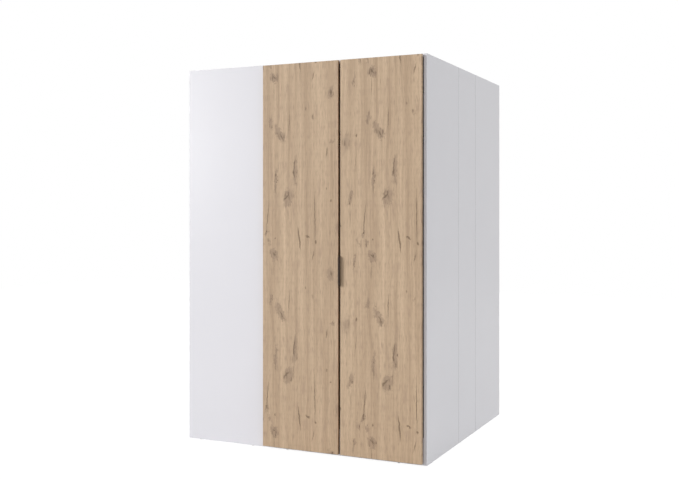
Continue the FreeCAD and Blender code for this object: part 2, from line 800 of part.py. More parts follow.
for share in GLIDE_SHARES:
    for part, (low_y, high_y) in SIDE_RUNS.items():
        along = f"{low_y} + {share} * ({high_y} - {low_y})"
        glide("right_inner + board / 2", along)
        glide("left_inner - board / 2", along)
    glide(f"left_outer + {share} * (stile_face - left_outer)", "front_y + board / 2")
    glide(f"stile_face + {share} * opening_width", "level_front + board / 2")
    for middle, part in BEARERS.values():
        glide(f"left_inner + {share} * (right_inner - left_inner)", middle)
node(solids_piece("floor_glides", floor_glides))

# One left-hand hinge at height zero, then copies up the doors and mirrored on the right


def arm_piece():
    """The goose-neck arm: a knuckle on the pin, a hook round the door's edge and a blade on the plate."""
    half = "arm_height / 2"
    rise = (f"-{half}", half)
    foot = ("pin_x", "pin_y", f"-{half}")
    knuckle = rod("arm_knuckle", foot, "+z", "hinge_pin_radius + knuckle_wall", "arm_height")
    lean = FreeCAD.Rotation(WAYS["+z"], value("arm_start_angle"))
    neck = doc.addObject("Part::Box", "arm_neck")
    neck.Placement = FreeCAD.Placement(FreeCAD.Vector(), lean)
    tie(neck, {"Length": "hook_outer", "Width": "arm_thickness", "Height": "arm_height"})
    tie(neck, {"Placement.Base.x": "pin_x + sin(arm_start_angle) * arm_thickness / 2"})
    tie(neck, {"Placement.Base.y": "pin_y - cos(arm_start_angle) * arm_thickness / 2"})
    tie(neck, {"Placement.Base.z": f"-{half}"})
    outside = rod("arm_hook_outside", foot, "+z", "hook_outer", "arm_height")
    outside.Placement = FreeCAD.Placement(FreeCAD.Vector(), lean)
    tie(outside, {"Angle": "90 - arm_start_angle"})
    inside = rod("arm_hook_inside", foot, "+z", "hook_inner", "arm_height")
    hook = less("arm_hook", outside, inside)
    reach = ("pin_y + hook_inner", "pin_y + hook_outer")
    bridge = block("arm_bridge", ("arm_near", "pin_x"), reach, rise)
    blade = block("arm_blade", ("arm_near", "arm_near + arm_thickness"), (reach[0], "arm_end"), rise)
    eye = rod("arm_eye", foot, "+z", "hinge_pin_radius + pin_running_gap", "arm_height")
    return less("hinge_arm", joined("arm_blank", [knuckle, neck, hook, bridge, blade]), eye)


def cup_piece():
    """The cup in the door, with its screw flange and the cheeks that hold the pin."""
    shell = rod("cup_shell", ("cup_x", "door_back - cup_depth + cup_fit", "0"), "+y", "cup_radius - cup_fit",
                "cup_depth - cup_fit")
    lip = rod("cup_lip", ("cup_x", "door_back", "0"), "+y", "cup_radius + cup_lip", "flange_thickness")
    flange = block("cup_flange", ("cup_x - flange_width / 2", "cup_x + flange_width / 2"),
                   ("door_back", "door_back + flange_thickness"),
                   ("-flange_height / 2", "flange_height / 2"))
    floor = "door_back - cup_depth + cup_fit + cup_wall"
    hollow = rod("cup_hollow", ("cup_x", floor, "0"), "+y", "cup_radius - cup_wall",
                 "cup_depth - cup_fit - cup_wall + flange_thickness")
    shape = less("cup_open", joined("cup_blank", [shell, lip, flange]), hollow)
    cheeks = []
    for name, rise in (("upper", ("cheek_start", "pin_half")), ("lower", ("-pin_half", "-cheek_start"))):
        cheeks.append(block(f"cup_{name}_cheek", ("pin_x - cheek_width / 2", "pin_x + cheek_width / 2"),
                            (floor, "door_back - cheek_setdown"), rise))
    seat = rod("cup_pin_seat", ("pin_x", "pin_y", "-pin_half"), "+z", "hinge_pin_radius + pin_seat_gap",
               "2 * pin_half")
    return less("hinge_cup", joined("cup_with_cheeks", [shape] + cheeks), seat)


HINGE_SIDES = {
    "left": ("stile_face", 1, "hinge_partition"),
    "right": ("right_inner", -1, "right_side_front_board"),
}


def hinge_heights():
    count = int(value("hinge_count"))
    return [value(f"hinge_first + hinge_span * {index} / ({count} - 1)") for index in range(count)]


def stacked(name, piece, heights):
    """Copies of one piece at each of the heights."""
    return solids_piece(name, [piece.Shape.translated(WAYS["+z"] * height) for height in heights])


def screw_pair(screws, x, y, height, spread, way, labels):
    for end in (-1, 1):
        drive(screws, FreeCAD.Vector(x, y, height + end * value(spread) / 2), way, *labels)


def hinge_screws(side, heights):
    """The screws of one door's hinges, two in each plate and two in each cup."""
    face, sign, board_label = HINGE_SIDES[side]
    plate_screws = []
    cup_screws = []
    plate_x = value(face) + sign * value("plate_thickness")
    cup_middle = value(face) + sign * value("door_side_gap + cup_inset")
    for height in heights:
        screw_pair(plate_screws, plate_x, value("(plate_start + arm_end) / 2"), height, "plate_screw_spread",
                   "-x" if side == "left" else "+x", [f"{side}_hinge_plates", board_label])
        screw_pair(cup_screws, cup_middle, value("door_back + flange_thickness"), height, "cup_screw_spread",
                   "-y", [f"{side}_hinge_cups", f"{side}_door"])
    node(solids_piece(f"{side}_plate_screws", plate_screws))
    node(solids_piece(f"{side}_cup_screws", cup_screws))


arm = arm_piece()
cup = cup_piece()
plate = block("hinge_plate", ("stile_face", "arm_near"), ("plate_start", "arm_end"),
              ("-plate_height / 2", "plate_height / 2"))
pin = rod("hinge_pin", ("pin_x", "pin_y", "-pin_half"), "+z", "hinge_pin_radius", "2 * pin_half")
doc.recompute()
heights = hinge_heights()
for side in HINGE_SIDES:
    hinge_screws(side, heights)
left_hand = {
    "hinge_arms": stacked("left_hinge_arms", arm, heights),
    "hinge_cups": stacked("left_hinge_cups_blank", cup, heights),
    "hinge_plates": stacked("left_hinge_plates_blank", plate, heights),
    "hinge_pins": stacked("left_hinge_pins", pin, heights),
}
for name, left in left_hand.items():
    blanks = name in ("hinge_cups", "hinge_plates")
    right = mirrored(f"right_{name}" + ("_blank" if blanks else ""), left)
    finished(f"left_{name}", left)
    finished(f"right_{name}", right)

# Doors: a padded board with cup pockets up its hinge side and rounded front edges


def door_blank(side, low_x, cup_across):
    label = f"{side}_door"
    body = doc.addObject("PartDesign::Body", label + "_blank")
    corners = [("0", "0"), ("door_width", "0"), ("door_width", "door_height"), ("0", "door_height")]
    sketch = rectilinear(body, label + "_face", "XZ_Plane", corners, {0: "door_width", 1: "door_height"})
    board = pad(body, label + "_pad", sketch, "door_thickness")
    circle = body.newObject("Sketcher::SketchObject", label + "_cup")
    circle.AttachmentSupport = sketch.AttachmentSupport
    circle.MapMode = "FlatFace"
    centre = spot(cup_across, "cup_rise", "0")
    circle.addGeometry(Part.Circle(centre, WAYS["+z"], value("cup_radius")), False)
    to_centre = (-1, 1, 0, 3)
    rules = (
        ("DistanceX", to_centre, cup_across),
        ("DistanceY", to_centre, "cup_rise"),
        ("Radius", (0,), "cup_radius"),
    )
    for kind, place, total in rules:
        index = circle.addConstraint(Sketcher.Constraint(kind, *place, value(total)))
        circle.setExpression(f"Constraints[{index}]", bind(total))
    pocket = body.newObject("PartDesign::Pocket", label + "_pocket")
    pocket.Profile = circle
    pocket.Reversed = True
    tie(pocket, {"Length": "cup_depth"})
    doc.recompute()
    row = body.newObject("PartDesign::LinearPattern", label + "_pockets")
    row.Originals = [pocket]
    row.Direction = (circle, ["V_Axis"])
    tie(row, {"Length": "hinge_span", "Occurrences": "hinge_count"})
    body.Tip = row
    doc.recompute()
    front = -value("door_thickness")
    names = edges_where(row, lambda middle, way: near(middle.y, front))
    eased(body, label + "_edges", "Fillet", "Radius", row, names, "door_edge_round")
    placed(body, low_x, "door_back", "door_floor_gap")
    removed = board.Shape.Volume - row.Shape.Volume
    if removed < value("hinge_count * cup_radius ^ 2 * cup_depth"):
        raise RuntimeError(label + ": the cup pockets cut too little")
    return body


left_door_blank = door_blank("left", "left_door_edge", "cup_inset")
right_door_blank = door_blank("right", "right_door_free", "door_width - cup_inset")

# The edge pull: a thin angle that wraps the free edge of the right door and stands out in front

pull_body = doc.addObject("PartDesign::Body", "edge_pull_blank")
pull_web = "door_thickness + pull_reach"
pull_corners = [
    ("0", "0"),
    ("pull_flange", "0"),
    ("pull_flange", "pull_thickness"),
    ("-pull_thickness", "pull_thickness"),
    ("-pull_thickness", f"-({pull_web})"),
    ("0", f"-({pull_web})"),
]
pull_lengths = {0: "pull_flange", 1: "pull_thickness", 4: "pull_thickness", 5: pull_web}
pull_sketch = rectilinear(pull_body, "edge_pull_section", "XY_Plane", pull_corners, pull_lengths)
pad(pull_body, "edge_pull_pad", pull_sketch, "pull_length")
pull_tip = -value(pull_web)
tip_edges = edges_where(pull_body.Tip, lambda middle, way: near(middle.y, pull_tip) and near(abs(way.x), 1))
eased(pull_body, "edge_pull_corners", "Fillet", "Radius", pull_body.Tip, tip_edges, "pull_corner_round")
placed(pull_body, "right_door_free", "door_back", "pull_centre_height - pull_length / 2")

pull_screws = []
screw_pair(pull_screws, value("right_door_free + pull_flange / 2"), value("door_back + pull_thickness"),
           value("pull_centre_height"), "pull_screw_spread", "-y", ["edge_pull", "right_door"])
node(solids_piece("pull_screws", pull_screws))


def bumpers(name, x):
    """Two pads near a door's free edge that meet the plinth and the top board."""
    pads = []
    for z in ("door_floor_gap + bumper_rise", "(roof_under + door_top) / 2"):
        pads.append(rod(f"{name}_{len(pads)}", (x, "door_back", z), "+y", "bumper_radius", "bumper_length"))
    node(group(name, pads))


bumpers("left_bumpers", "left_door_free - bumper_inset")
bumpers("right_bumpers", "right_door_free + bumper_inset")

# Boards that were waiting for their holes

blanks = {
    "blind_panel": blind_blank,
    "hinge_partition": partition_blank,
    "front_plinth": plinth_blank,
    "rear_shelf": rear_shelf_blank,
    "corner_shelf": corner_shelf_blank,
    "left_door": left_door_blank,
    "right_door": right_door_blank,
    "edge_pull": pull_body,
    "shelf_cleat": cleat_blank,
}
blanks.update(bearer_blanks)
blanks.update(side_blanks)
blanks.update(level_blanks)
blanks.update(sheet_blanks)
for label, blank in blanks.items():
    finished(label, blank)
node(solids_piece("shelf_pins", shelf_pins))

# Check everything, then write one file for each sub-part

doc.recompute()
for item in doc.Objects:
    if "Invalid" in item.State or "Error" in item.State:
        raise RuntimeError(f"{item.Label} did not compute: {item.State}")
for piece in node_labels:
    if piece.Shape.isNull() or not piece.Shape.isValid():
        raise RuntimeError(piece.Label + " has no valid shape")
os.makedirs("parts", exist_ok=True)
for piece in node_labels:
    piece.Shape.exportStep(os.path.join("parts", piece.Label + ".step"))
print(len(node_labels), "sub-parts,", sum(len(piece.Shape.Solids) for piece in node_labels), "solids")
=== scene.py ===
import math

import bmesh
import bpy
from bpy.props import FloatProperty, FloatVectorProperty, IntProperty, PointerProperty
from mathutils import Matrix, Vector


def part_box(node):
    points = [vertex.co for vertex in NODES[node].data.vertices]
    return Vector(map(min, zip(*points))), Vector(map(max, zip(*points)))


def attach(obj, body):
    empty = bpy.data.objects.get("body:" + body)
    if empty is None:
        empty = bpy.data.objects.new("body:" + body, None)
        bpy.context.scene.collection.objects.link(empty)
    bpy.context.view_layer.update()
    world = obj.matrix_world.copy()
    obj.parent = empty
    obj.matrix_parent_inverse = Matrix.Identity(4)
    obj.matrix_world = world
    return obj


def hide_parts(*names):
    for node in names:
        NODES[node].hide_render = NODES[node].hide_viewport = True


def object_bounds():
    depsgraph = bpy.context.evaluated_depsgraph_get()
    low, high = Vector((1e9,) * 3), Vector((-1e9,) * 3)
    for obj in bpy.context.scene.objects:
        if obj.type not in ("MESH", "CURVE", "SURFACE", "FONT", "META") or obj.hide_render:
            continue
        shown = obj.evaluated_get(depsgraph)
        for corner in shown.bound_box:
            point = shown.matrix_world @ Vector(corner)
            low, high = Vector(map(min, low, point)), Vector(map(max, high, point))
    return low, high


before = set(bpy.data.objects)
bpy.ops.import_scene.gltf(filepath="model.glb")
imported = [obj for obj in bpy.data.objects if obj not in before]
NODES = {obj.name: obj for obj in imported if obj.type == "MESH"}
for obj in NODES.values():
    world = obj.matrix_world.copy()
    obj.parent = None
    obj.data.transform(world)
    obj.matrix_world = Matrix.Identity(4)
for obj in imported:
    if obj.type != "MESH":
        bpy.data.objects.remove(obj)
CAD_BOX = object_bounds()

bl_info = {
    "name": "Corner wardrobe",
    "version": (1, 0, 0),
    "blender": (4, 5, 0),
    "location": "3D View > Sidebar > Wardrobe",
    "description": "Finishes of a corner wardrobe: laminate, oak decor doors, fittings and a plain studio",
    "category": "Object",
}

MM = 0.001

# The photograph's frame in pixels, the row of its horizon, and the camera's sensor in millimetres
IMAGE_WIDTH = 679
IMAGE_HEIGHT = 480
HORIZON_ROW = 212
SENSOR_WIDTH = 36

# Half the floor's width in metres
FLOOR_HALF = 9.0

# Where each wide lamp stands, as degrees to the right of straight in front, degrees up and degrees across
LAMPS = {
    "key": (-57, 17, 16),
    "sheen": (-42, 5, 14),
    "fill": (72, 22, 40),
    "top": (0, 90, 60),
    "back": (180, 45, 30),
}
WHITE = (1, 1, 1, 1)

# Which sub-parts share a finish
WHITE_BOARDS = [name for name in NODES if name.endswith("_board")] + [
    "blind_panel", "hinge_partition", "front_plinth", "front_bearer", "rear_bearer", "back_bearer",
    "rear_shelf", "corner_shelf", "shelf_cleat",
]
BACK_SHEETS = ["back_panel_left", "back_panel_centre", "back_panel_right"]
CHROMED = ["rear_rail", "corner_rail", "rail_flanges", "rail_hangers"]
HINGE_PARTS = ("cups", "arms", "plates", "pins")
HINGE_STEEL = [f"{side}_hinge_{part}" for side in ("left", "right") for part in HINGE_PARTS]
ZINC_PLATED = ["seam_plates", "wall_brackets", "shelf_pins", "cam_bolts", "back_panel_nails"]
SCREW_SETS = {
    "rail_screws": "carcass",
    "seam_plate_screws": "carcass",
    "wall_bracket_screws": "carcass",
    "left_plate_screws": "carcass",
    "right_plate_screws": "carcass",
    "left_cup_screws": "left_door",
    "right_cup_screws": "right_door",
    "pull_screws": "right_door",
}

# Turned profiles in millimetres, as radius and height over the bearing face, from the tip to the middle
# of the top. A driver's cross has its reach from the middle and its depth. On each ring, points that lie
# off an arm by some sides are pressed too, if these times the radius stay under a share of the reach.
SCREW_PROFILE = (
    (0, -11), (1.3, -9.6), (2, -8.4), (2, 0), (3.5, 0), (3.5, 0.5), (3.3, 0.9), (2.8, 1.3), (2.1, 1.55),
    (1.5, 1.6), (1, 1.6), (0.5, 1.6), (0, 1.6),
)
SCREW_CROSS = (1.6, 0.8)
CAM_PROFILE = (
    (0, -12.5), (7.5, -12.5), (7.5, -0.4), (7.1, 0), (5.8, 0), (5.6, -0.5), (5, -0.5), (4.8, 0), (3.6, 0),
    (2.4, 0), (1.2, 0), (0, 0),
)
CAM_CROSS = (3.7, 1.8)
CROSS_ARMS = 4
ARM_SHARE = 1 / 3
SHARP_ANGLE = math.radians(35)

# How near in millimetres two points are one point, how near a screw's end a point belongs to its rim, and
# to how many digits of a metre points are sorted
WELD = 0.01
RIM = 0.1
SORT_DIGITS = 5

# Least and most roughness of each finish
ROUGHNESS = {
    "laminate": (0.20, 0.26),
    "oak": (0.54, 0.66),
    "enamel": (0.36, 0.5),
    "hardboard": (0.55, 0.75),
    "chrome": (0.08, 0.16),
    "zinc": (0.28, 0.42),
    "strips": (0.4, 0.55),
    "glides": (0.4, 0.6),
    "bumpers": (0.3, 0.45),
}

# How dark the mottling of each finish goes, as a share of its colour
DARKEST = {"laminate": 0.985, "hardboard": 0.86, "plastic": 0.95, "beech": 0.82}

# Most of a noise lies between these values
NOISE_LOW = 0.3
NOISE_HIGH = 0.7

# A face is slanted if no axis has more than this share of its normal
SQUARE = 0.97

# A back sheet's face looks inside if its normal's Y is less than this
INWARD = -0.5

# The oak decor repeats up the door. Each row is one mark in it, in millimetres and degrees:
# across, up, width, length, tilt to the left and weight.
DECOR_PERIOD = 916
DECOR_START = -36
KNOT_SPREAD = 0.67
CRACK_SPREAD = 0.62
LAMELLA_SPREAD = 0.8
LAMELLA_LENGTH = 40000
LAMELLAS = (
    (-74, 458, 76, LAMELLA_LENGTH, 0, 0.75),
    (-2, 458, 36, LAMELLA_LENGTH, 0, 0.8),
    (128, 458, 42, LAMELLA_LENGTH, 0, 1.0),
    (220, 458, 40, LAMELLA_LENGTH, 0, 0.7),
    (331, 458, 38, LAMELLA_LENGTH, 0, 0.9),
)
KNOTS = (
    (68, 131, 44, 62, 28, 1.0),
    (40, 194, 26, 40, 20, 0.55),
    (393, 40, 38, 70, 0, 0.85),
    (48, 814, 22, 66, -10, 0.8),
    (103, 752, 40, 104, 30, 0.9),
    (190, 560, 28, 170, -4, 0.7),
    (77, 521, 20, 130, -4, 0.85),
    (152, 427, 58, 92, -12, 0.9),
    (289, 839, 34, 40, 0, 0.35),
    (403, 708, 36, 20, 20, 0.75),
    (21, 244, 18, 36, -8, 0.95),
    (431, 269, 34, 90, 0, 0.5),
    (-28, 104, 14, 76, -8, 0.85),
    (-70, 701, 84, 130, -10, 0.45),
    (-47, 424, 25, 86, -12, 0.9),
    (-5, 200, 24, 80, 22, 0.45),
)
CRACKS = (
    (393, 408, 14, 18, 0, 0.7),
    (251, 882, 12, 18, 0, 0.6),
    (370, 468, 10, 22, 0, 0.6),
    (309, 199, 14, 16, 0, 0.8),
    (262, 226, 12, 34, 62, 0.9),
    (73, 217, 9, 12, 0, 0.9),
    (-16, 732, 12, 20, 0, 0.9),
    (-104, 282, 14, 22, 0, 0.7),
    (70, 133, 13, 46, 52, 0.6),
    (112, 738, 12, 64, 30, 0.6),
    (140, 430, 13, 64, -42, 0.8),
    (184, 545, 8, 44, 6, 0.8),
    (396, 42, 15, 42, 10, 0.7),
    (186, 590, 8, 110, -6, 0.8),
    (155, 806, 6, 150, -2, 0.8),
    (28, 318, 7, 200, -5, 0.8),
    (303, 330, 7, 300, 1, 0.85),
    (214, 214, 10, 140, 7, 1.0),
    (370, 654, 10, 60, -6, 0.8),
    (294, 131, 9, 80, -14, 0.6),
    (76, 470, 6, 120, 0, 0.5),
    (66, 60, 6, 150, 0, 0.5),
    (-20, 600, 8, 170, -6, 0.45),
    (-50, 330, 6, 130, 3, 0.5),
    (345, 560, 6, 180, 2, 0.4),
    (415, 560, 6, 160, -2, 0.35),
)

# How a mark stains the oak: where it starts to show, where it shows fully, and how strongly it then covers
ROSE_STAIN = (0.56, 0.74, 0.5)
PORE_STAIN = (0.50, 0.76, 0.6)
VESSEL_STAIN = (0.58, 0.74, 0.35)
HALO_STAIN = (0.10, 0.46, 0.6)
FIBRE_STAIN = (0.02, 0.20, 0.95)
CRACK_STAIN = (0.10, 0.60, 0.8)

# How streaks, bands and lamellas make the ground, from the oak's dark colour at 0 to its light one at 1
BAND_SHARE = 0.45
BLEND_RANGE = (0.36, 0.64)
GROUND_RANGE = (0.06, 0.70)
LAMELLA_GAIN = 0.3


def linear(hex_colour):
    """The scene-linear colour, with alpha, of an sRGB hex value."""
    shares = [int(hex_colour[place:place + 2], 16) / 255 for place in (1, 3, 5)]
    return [s / 12.92 if s <= 0.04045 else ((s + 0.055) / 1.055) ** 2.4 for s in shares] + [1.0]


def colour(name, description, hex_colour):
    """A colour setting, from its sRGB hex value."""
    return FloatVectorProperty(name=name, description=description, subtype="COLOR", size=4, min=0, max=1,
                               default=linear(hex_colour))


def length(name, description, metres):
    """A length setting, in metres."""
    return FloatProperty(name=name, description=description, unit="LENGTH", default=metres)


def strength(name, description, default):
    """A lamp's strength setting."""
    return FloatProperty(name=name, description=description, default=default, min=0)


def share(name, description, default):
    """A setting from nought to one."""
    return FloatProperty(name=name, description=description, subtype="FACTOR", default=default, min=0, max=1)


class WardrobeFinishes(bpy.types.PropertyGroup):
    """Colours of the wardrobe's surfaces."""
    laminate: colour("Laminate", "White melamine on the boards", "#E2E1E6")
    # Bare board, drawn near black so that it is also painted shade in the seam bevels between the boards
    core: colour("Core", "Bare board where it is bored or bevelled", "#3E3A35")
    oak_light: colour("Oak, light", "Light streaks of the oak decor", "#CFB597")
    oak_dark: colour("Oak, dark", "Dark streaks of the oak decor", "#A98F74")
    oak_rose: colour("Oak, rose", "Rose-grey smudges of the oak decor", "#A58B75")
    oak_knot: colour("Oak, knots", "Halo of the knots and the pores", "#937C68")
    oak_core: colour("Oak, cores", "Cores of the knots and the cracks", "#6B563F")
    pull: colour("Pull", "Dark enamel of the edge pull", "#2E211A")
    zinc: colour("Zinc", "Zinc plating of the fittings", "#B9BBBD")
    chrome: colour("Chrome", "Chromed rails", "#D2D3D5")
    hardboard: colour("Hardboard", "Bare outer face of the back sheets", "#AD916E")
    hardboard_paint: colour("Hardboard paint", "Painted inner face of the back sheets", "#E9E8E6")
    plastic: colour("White plastic", "Joint strips of the back sheets", "#E6E6E3")
    glides: colour("Glides", "Floor glides", "#DAD8D2")
    dowels: colour("Dowels", "Bare beech of the dowels", "#C4A681")
    bumpers: colour("Bumpers", "Soft door bumpers", "#D8D6CE")


class WardrobeGrain(bpy.types.PropertyGroup):
    """Sizes of the patterns in the surfaces: the real ones, or coarser where a finish says so."""
    grit: length("Laminate grit", "Size of the fine pearl structure of the laminate", 0.0016)
    grit_relief: length("Grit relief", "Height of the pearl structure of the laminate", 0.0002)
    cloud: length("Laminate cloud", "Size of the faint clouds in the laminate", 0.400)
    edging: length("Edging", "Depth of the edged corners at the front and rear of the sides", 0.005)
    band_width: length("Band width", "Width of the broad oak bands", 0.036)
    band_length: length("Band length", "Length of the broad oak bands", 1.300)
    streak_width: length("Streak width", "Width of the oak streaks", 0.010)
    streak_length: length("Streak length", "Length of the oak streaks", 0.450)
    smudge_width: length("Smudge width", "Width of the rose-grey smudges", 0.030)
    smudge_length: length("Smudge length", "Length of the rose-grey smudges", 0.100)
    pore_width: length("Pore width", "Width of the oak pores", 0.0030)
    pore_length: length("Pore length", "Length of the oak pores", 0.050)
    vessel_width: length("Vessel width", "Width of the fine open vessels", 0.0009)
    vessel_length: length("Vessel length", "Length of the fine open vessels", 0.022)
    vessel_relief: length("Vessel relief", "Depth of the fine open vessels", 0.0003)
    tear: length("Tear", "Size of the ragged outline of knots and cracks", 0.016)
    knot_tear_across: length("Knot tear across", "How far a knot's outline is torn across the grain", 0.030)
    knot_tear_along: length("Knot tear along", "How far a knot's outline is torn along the grain", 0.070)
    crack_tear_across: length("Crack tear across", "How far a crack's line bends across the grain", 0.008)
    crack_tear_along: length("Crack tear along", "How far a crack's line bends along the grain", 0.030)
    wander: length("Wander", "How far the grain wanders across", 0.030)
    wander_width: length("Wander width", "Width over which the grain wanders", 0.110)
    wander_length: length("Wander length", "Length over which the grain wanders", 0.380)
    knot_bend: length("Knot bend", "How far the grain goes round a knot", 0.010)
    right_shift: length("Right door shift", "How far over the right door's sheet is cut", 0.105)
    peel: length("Orange peel", "Size of the orange peel in the enamel", 0.003)
    peel_relief: length("Peel relief", "Height of the orange peel in the enamel", 0.0002)
    felt: length("Felt", "Size of the felted flecks of the hardboard", 0.006)
    felt_relief: length("Felt relief", "Height of the felted flecks of the hardboard", 0.0003)
    skin: length("Skin", "Size of the flow marks in the plastics' skin", 0.004)
    beech_fleck: length("Beech fleck", "Size of the flecks of the beech", 0.002)
    chrome_haze: length("Chrome haze", "Size of the polish marks on the chrome", 0.020)
    zinc_haze: length("Zinc haze", "Size of the bath marks on the zinc", 0.008)


class WardrobeStage(bpy.types.PropertyGroup):
    """The studio around the wardrobe."""
    lens: FloatProperty(name="Lens", description="Focal length on a 36 mm sensor", unit="CAMERA", default=50,
                        min=1)
    camera_right: length("Camera right", "Camera's distance to the right of the middle", 2.2366)
    camera_back: length("Camera back", "Camera's distance in front of the middle", 4.939)
    camera_height: length("Camera height", "Height of the level camera above the floor", 1.232)
    camera_turn: FloatProperty(name="Camera turn", description="Turn of the camera to the left",
                               subtype="ANGLE", default=math.radians(25.1))
    ambient: strength("Ambient", "Strength of the light from all round", 0.215)
    key: strength("Key", "Strength of the wide soft light from the left", 2.2)
    sheen: strength("Sheen", "Strength of the lamp that shows in the laminate", 0.53)
    fill: strength("Fill", "Strength of the wide soft light from the right", 0.72)
    top: strength("Top", "Strength of the wide soft light from above", 0.40)
    back: strength("Back", "Strength of the wide soft light from behind", 1.2)
    floor: colour("Floor", "Pale floor", "#E6E6E6")
    floor_white: share("Floor white", "Plain white added to the seen floor", 0.93)
    floor_shadow: share("Floor shadow", "Share of lit colour in the seen floor", 0.2)


class WardrobeSettings(bpy.types.PropertyGroup):
    """All that a user would change."""
    finishes: PointerProperty(type=WardrobeFinishes, name="Finishes", description="Colours of the surfaces")
    grain: PointerProperty(type=WardrobeGrain, name="Grain", description="Sizes of the patterns")
    stage: PointerProperty(type=WardrobeStage, name="Stage", description="Camera, light and floor")
    segments: IntProperty(name="Segments", description="Sides of a turned screw or cam head", default=32,
                          min=8)


def settings():
    """The settings of the scene that is being dressed."""
    return bpy.context.scene.wardrobe


# Nodes and materials


def add(tree, kind, properties=None, feeds=None):
    """Add a node, set its properties, and feed its sockets from nodes, sockets or plain values."""
    node = tree.nodes.new(kind)
    for name, value in (properties or {}).items():
        setattr(node, name, value)
    for key, value in (feeds or {}).items():
        named = [socket for socket in node.inputs if socket.enabled and socket.name == key]
        socket = named[0] if named else node.inputs[key]
        if isinstance(value, bpy.types.Node):
            value = [output for output in value.outputs if output.enabled][0]
        if isinstance(value, bpy.types.NodeSocket):
            tree.links.new(value, socket)
        else:
            socket.default_value = value
    return node


def make_finish(name, paint, *details):
    """A material whose shader is fed with what a paint function makes from object coordinates."""
    material = bpy.data.materials.new(name)
    material.use_nodes = True
    tree = material.node_tree
    tree.nodes.clear()
    here = add(tree, "ShaderNodeTexCoord").outputs
    shader = add(tree, "ShaderNodeBsdfPrincipled", feeds=paint(tree, here, *details))
    add(tree, "ShaderNodeOutputMaterial", feeds={"Surface": shader})
    return material


def wear(material, names):
    """Give a material to CAD sub-parts."""
    for name in names:
        slots = NODES[name].data.materials
        slots.clear()
        slots.append(material)


def mottled(tree, noise, base, darkest, low=NOISE_LOW, high=NOISE_HIGH):
    """A colour that a noise darkens, down to a share of it."""
    tone = add(tree, "ShaderNodeMapRange",
               feeds={"Value": noise, "From Min": low, "From Max": high, "To Min": darkest})
    return add(tree, "ShaderNodeMix", {"data_type": "RGBA", "blend_type": "MULTIPLY"},
               {"Factor": 1.0, "A": base, "B": tone})


def melamine(tree, here):
    # Melamine pressed on chipboard: a cool white with a satin sheen, broken up by a fine pearl structure.
    # The real structure is about half a millimetre; it is drawn coarser, so that it shows from near by.
    grain = settings().grain
    finishes = settings().finishes
    grit = add(tree, "ShaderNodeTexNoise",
               feeds={"Vector": here["Object"], "Scale": 1 / grain.grit, "Detail": 1.0})
    cloud = add(tree, "ShaderNodeTexNoise",
                feeds={"Vector": here["Object"], "Scale": 1 / grain.cloud, "Detail": 2.0})
    body = mottled(tree, cloud, finishes.laminate, DARKEST["laminate"])
    # Bores and seam bevels are milled through the laminate, so a face there that is square to no axis shows
    # the bare board.
    # That board colour is drawn near black, so the seam bevels between the side boards carry painted shade
    # as well as bare board.
    # The front and rear corners of the sides are edged, and stay white.
    square = add(tree, "ShaderNodeVectorMath", {"operation": "ABSOLUTE"}, {0: here["Normal"]})
    axes = add(tree, "ShaderNodeSeparateXYZ", feeds={"Vector": square})
    facing = add(tree, "ShaderNodeMath", {"operation": "MAXIMUM"},
                 {0: axes.outputs["X"], 1: axes.outputs["Y"]})
    facing = add(tree, "ShaderNodeMath", {"operation": "MAXIMUM"}, {0: facing, 1: axes.outputs["Z"]})
    slanted = add(tree, "ShaderNodeMath", {"operation": "LESS_THAN"}, {0: facing, 1: SQUARE})
    low_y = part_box("right_side_front_board")[0].y
    high_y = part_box("right_side_rear_board")[1].y
    depth = add(tree, "ShaderNodeSeparateXYZ", feeds={"Vector": here["Object"]})
    between = add(tree, "ShaderNodeMath", {"operation": "COMPARE"}, {
        0: depth.outputs["Y"],
        1: (low_y + high_y) / 2,
        2: (high_y - low_y) / 2 - grain.edging,
    })
    # The mask covers the bores and the seam bevels; the dark colour there is bare board and painted shade
    milled_and_seam_shade = add(tree, "ShaderNodeMath", {"operation": "MULTIPLY"}, {0: slanted, 1: between})
    body = add(tree, "ShaderNodeMix", {"data_type": "RGBA"},
               {"Factor": milled_and_seam_shade, "A": body, "B": finishes.core})
    least, most = ROUGHNESS["laminate"]
    rough = add(tree, "ShaderNodeMapRange", feeds={"Value": grit, "To Min": least, "To Max": most})
    bump = add(tree, "ShaderNodeBump",
               feeds={"Strength": 0.06, "Distance": grain.grit_relief, "Height": grit})
    return {"Base Color": body, "Roughness": rough, "Normal": bump, "IOR": 1.5}


def marks(tree, spot, rows, spread):
    """The summed weight of a table of soft oval marks."""
    total = 0.0
    for across, up, width, tall, tilt, weight in rows:
        oval = add(tree, "ShaderNodeMapping", {"vector_type": "TEXTURE"}, {
            "Vector": spot,
            "Location": (across * MM, up * MM, 0),
            "Rotation": (0, 0, math.radians(tilt)),
            "Scale": (width * MM * spread, tall * MM * spread, 1),
        })
        dome = add(tree, "ShaderNodeTexGradient", {"gradient_type": "SPHERICAL"}, {"Vector": oval})
        total = add(tree, "ShaderNodeMath", {"operation": "MULTIPLY_ADD"}, {0: dome, 1: weight, 2: total})
    return total


def stained(tree, body, mark, stain, tint):
    """The oak's colour with a mark's tint over it, and the share that the tint covers."""
    start, full, strongest = stain
    cover = add(tree, "ShaderNodeMapRange", {"interpolation_type": "SMOOTHSTEP"},
                {"Value": mark, "From Min": start, "From Max": full, "To Max": strongest})
    return add(tree, "ShaderNodeMix", {"data_type": "RGBA"}, {"Factor": cover, "A": body, "B": tint}), cover


